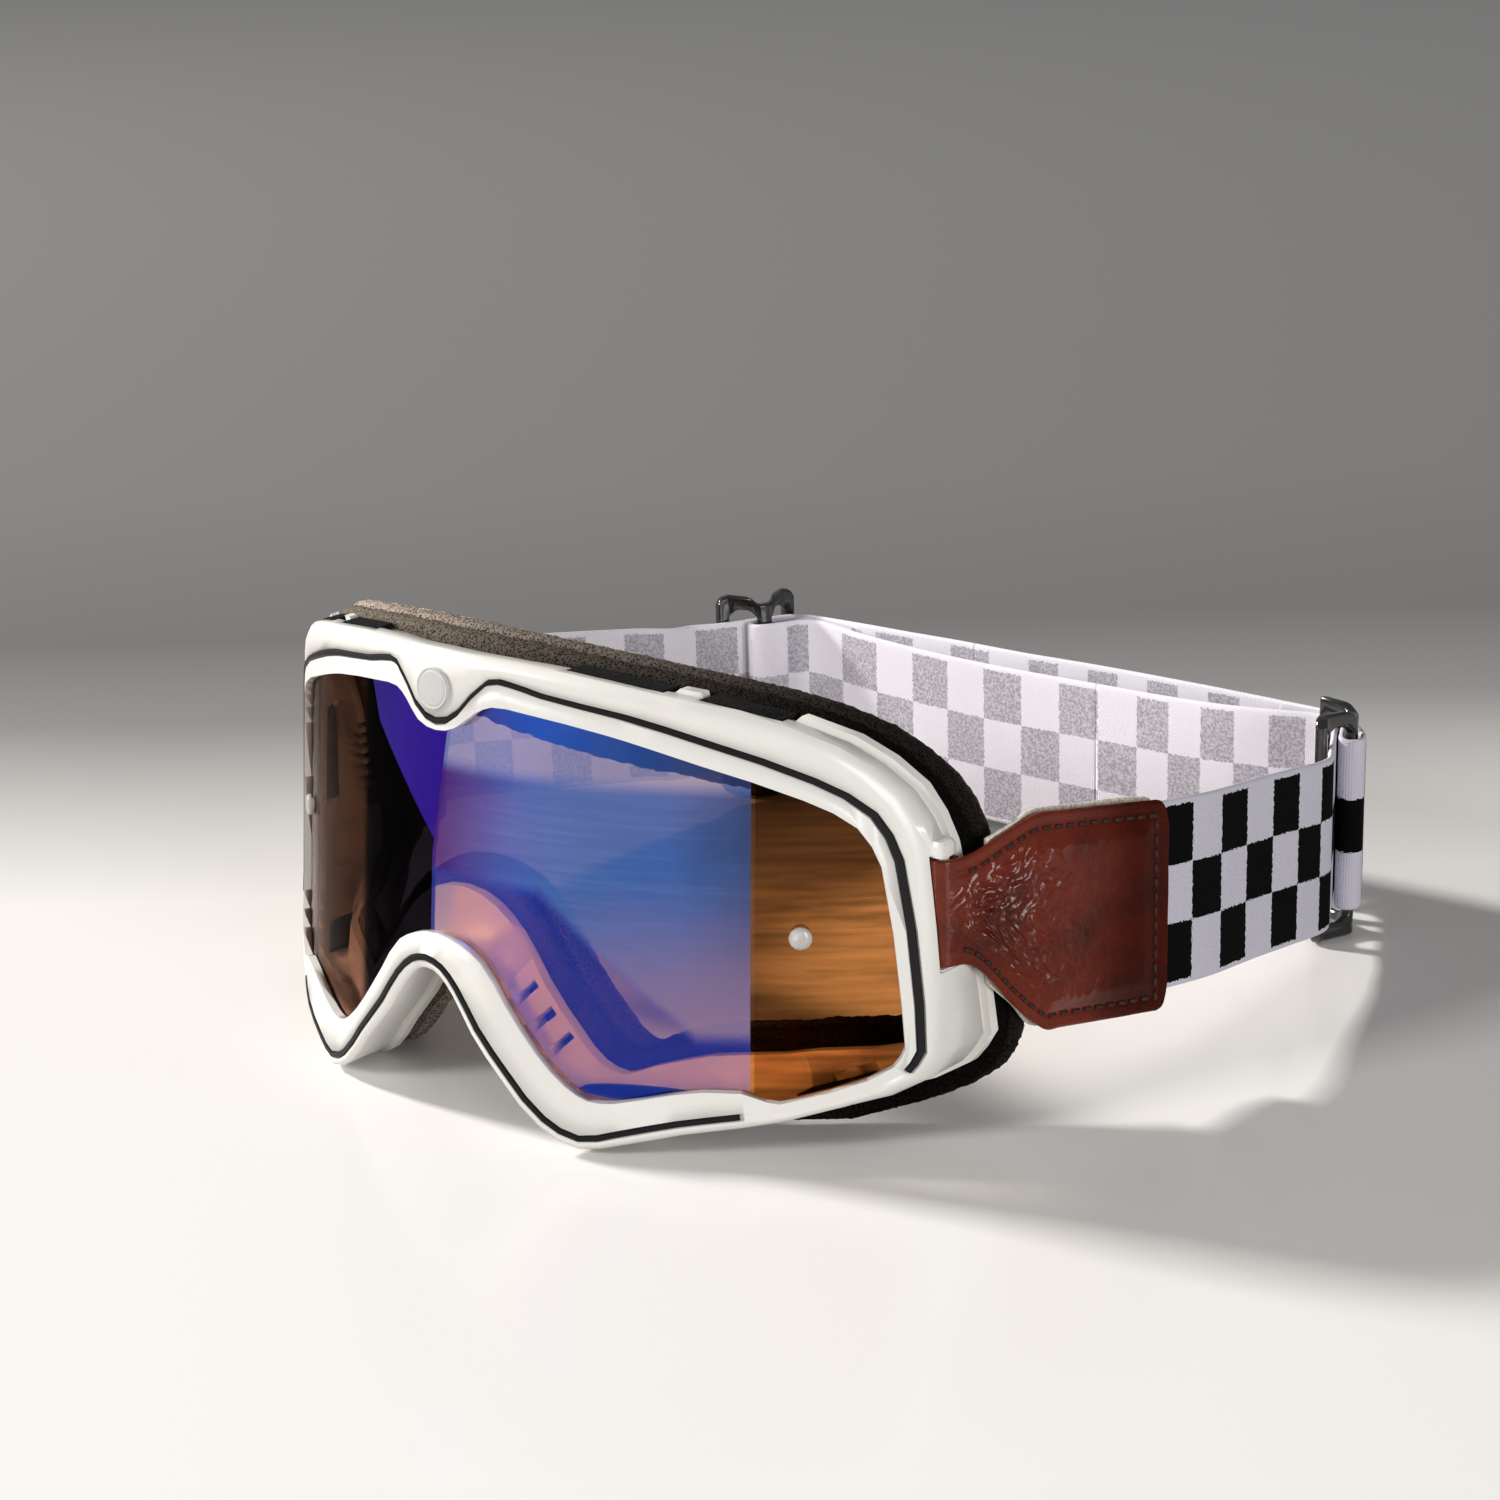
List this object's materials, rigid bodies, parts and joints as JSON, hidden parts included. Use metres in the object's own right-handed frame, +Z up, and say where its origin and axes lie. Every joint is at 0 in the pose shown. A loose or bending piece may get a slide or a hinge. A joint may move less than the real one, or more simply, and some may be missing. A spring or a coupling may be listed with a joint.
{
  "type": "motocross goggles",
  "caption": "Retro motocross goggles: curved mirror lens in a moulded frame with layered face foam, hinged leather strap tabs and a woven strap threaded through sliding buckles.",
  "frame": {"origin": "centre of the bounding box at the level of the surface the goggles stand on", "axes": "+X to the right of someone who looks at the lens from the front, +Y back from the lens to the middle of the strap, +Z up"},
  "size_m": [0.2102, 0.2114, 0.0971],
  "materials": {
    "ivory_plastic": "satin gloss",
    "mirror_lens": "blue mirror coat on a clear amber plate",
    "clear_plastic": "clear gloss",
    "badge_grey": "satin",
    "stripe_black": "satin",
    "vent_black": "open-cell foam",
    "foam_black": "open-cell foam",
    "foam_grey": "open-cell foam",
    "fleece_brown": "fleece",
    "brown_leather": "polished",
    "cream_lining": "raw suede",
    "strap_webbing": "woven check",
    "buckle_black": "gloss"
  },
  "bodies": {
    "frame": {"frame_shell": "ivory_plastic", "lens": "mirror_lens", "tear_off_post_left": "clear_plastic", "tear_off_post_right": "clear_plastic", "badge_disc": "badge_grey", "upper_pinstripe": "stripe_black", "lower_pinstripe": "stripe_black", "top_vent_foam_inner_right": "vent_black", "top_vent_foam_outer_right": "vent_black", "top_vent_foam_inner_left": "vent_black", "top_vent_foam_outer_left": "vent_black", "bottom_vent_foam_right": "vent_black", "bottom_vent_foam_left": "vent_black", "face_foam_base": "foam_black", "face_foam_middle": "foam_grey", "face_foam_fleece": "fleece_brown", "strap_right": "strap_webbing", "strap_left": "strap_webbing"},
    "tab_right": {"leather_tab_right": "brown_leather", "tab_lining_right": "cream_lining"},
    "tab_left": {"leather_tab_left": "brown_leather", "tab_lining_left": "cream_lining"},
    "buckle_right": {"buckle_right": "buckle_black"},
    "buckle_left": {"buckle_left": "buckle_black"}
  },
  "joints": [
    {"name": "tab_right_hinge", "type": "hinge", "parent": "frame", "child": "tab_right", "pos_m": [0.0872, -0.05225, 0.0474], "axis": [0, 0, 1], "range_deg": [-20, 2], "deforming": ["strap_right"]},
    {"name": "tab_left_hinge", "type": "hinge", "parent": "frame", "child": "tab_left", "pos_m": [-0.0872, -0.05225, 0.0474], "axis": [0, 0, 1], "range_deg": [-2, 20], "deforming": ["strap_left"]},
    {"name": "buckle_right_slide", "type": "slide", "parent": "frame", "child": "buckle_right", "axis": [0.4695, -0.8829, 0], "range_m": [0, 0.0065], "deforming": ["strap_left"]},
    {"name": "buckle_left_slide", "type": "slide", "parent": "frame", "child": "buckle_left", "axis": [-0.4695, -0.8829, 0], "range_m": [0, 0.0065], "deforming": ["strap_right"]}
  ]
}
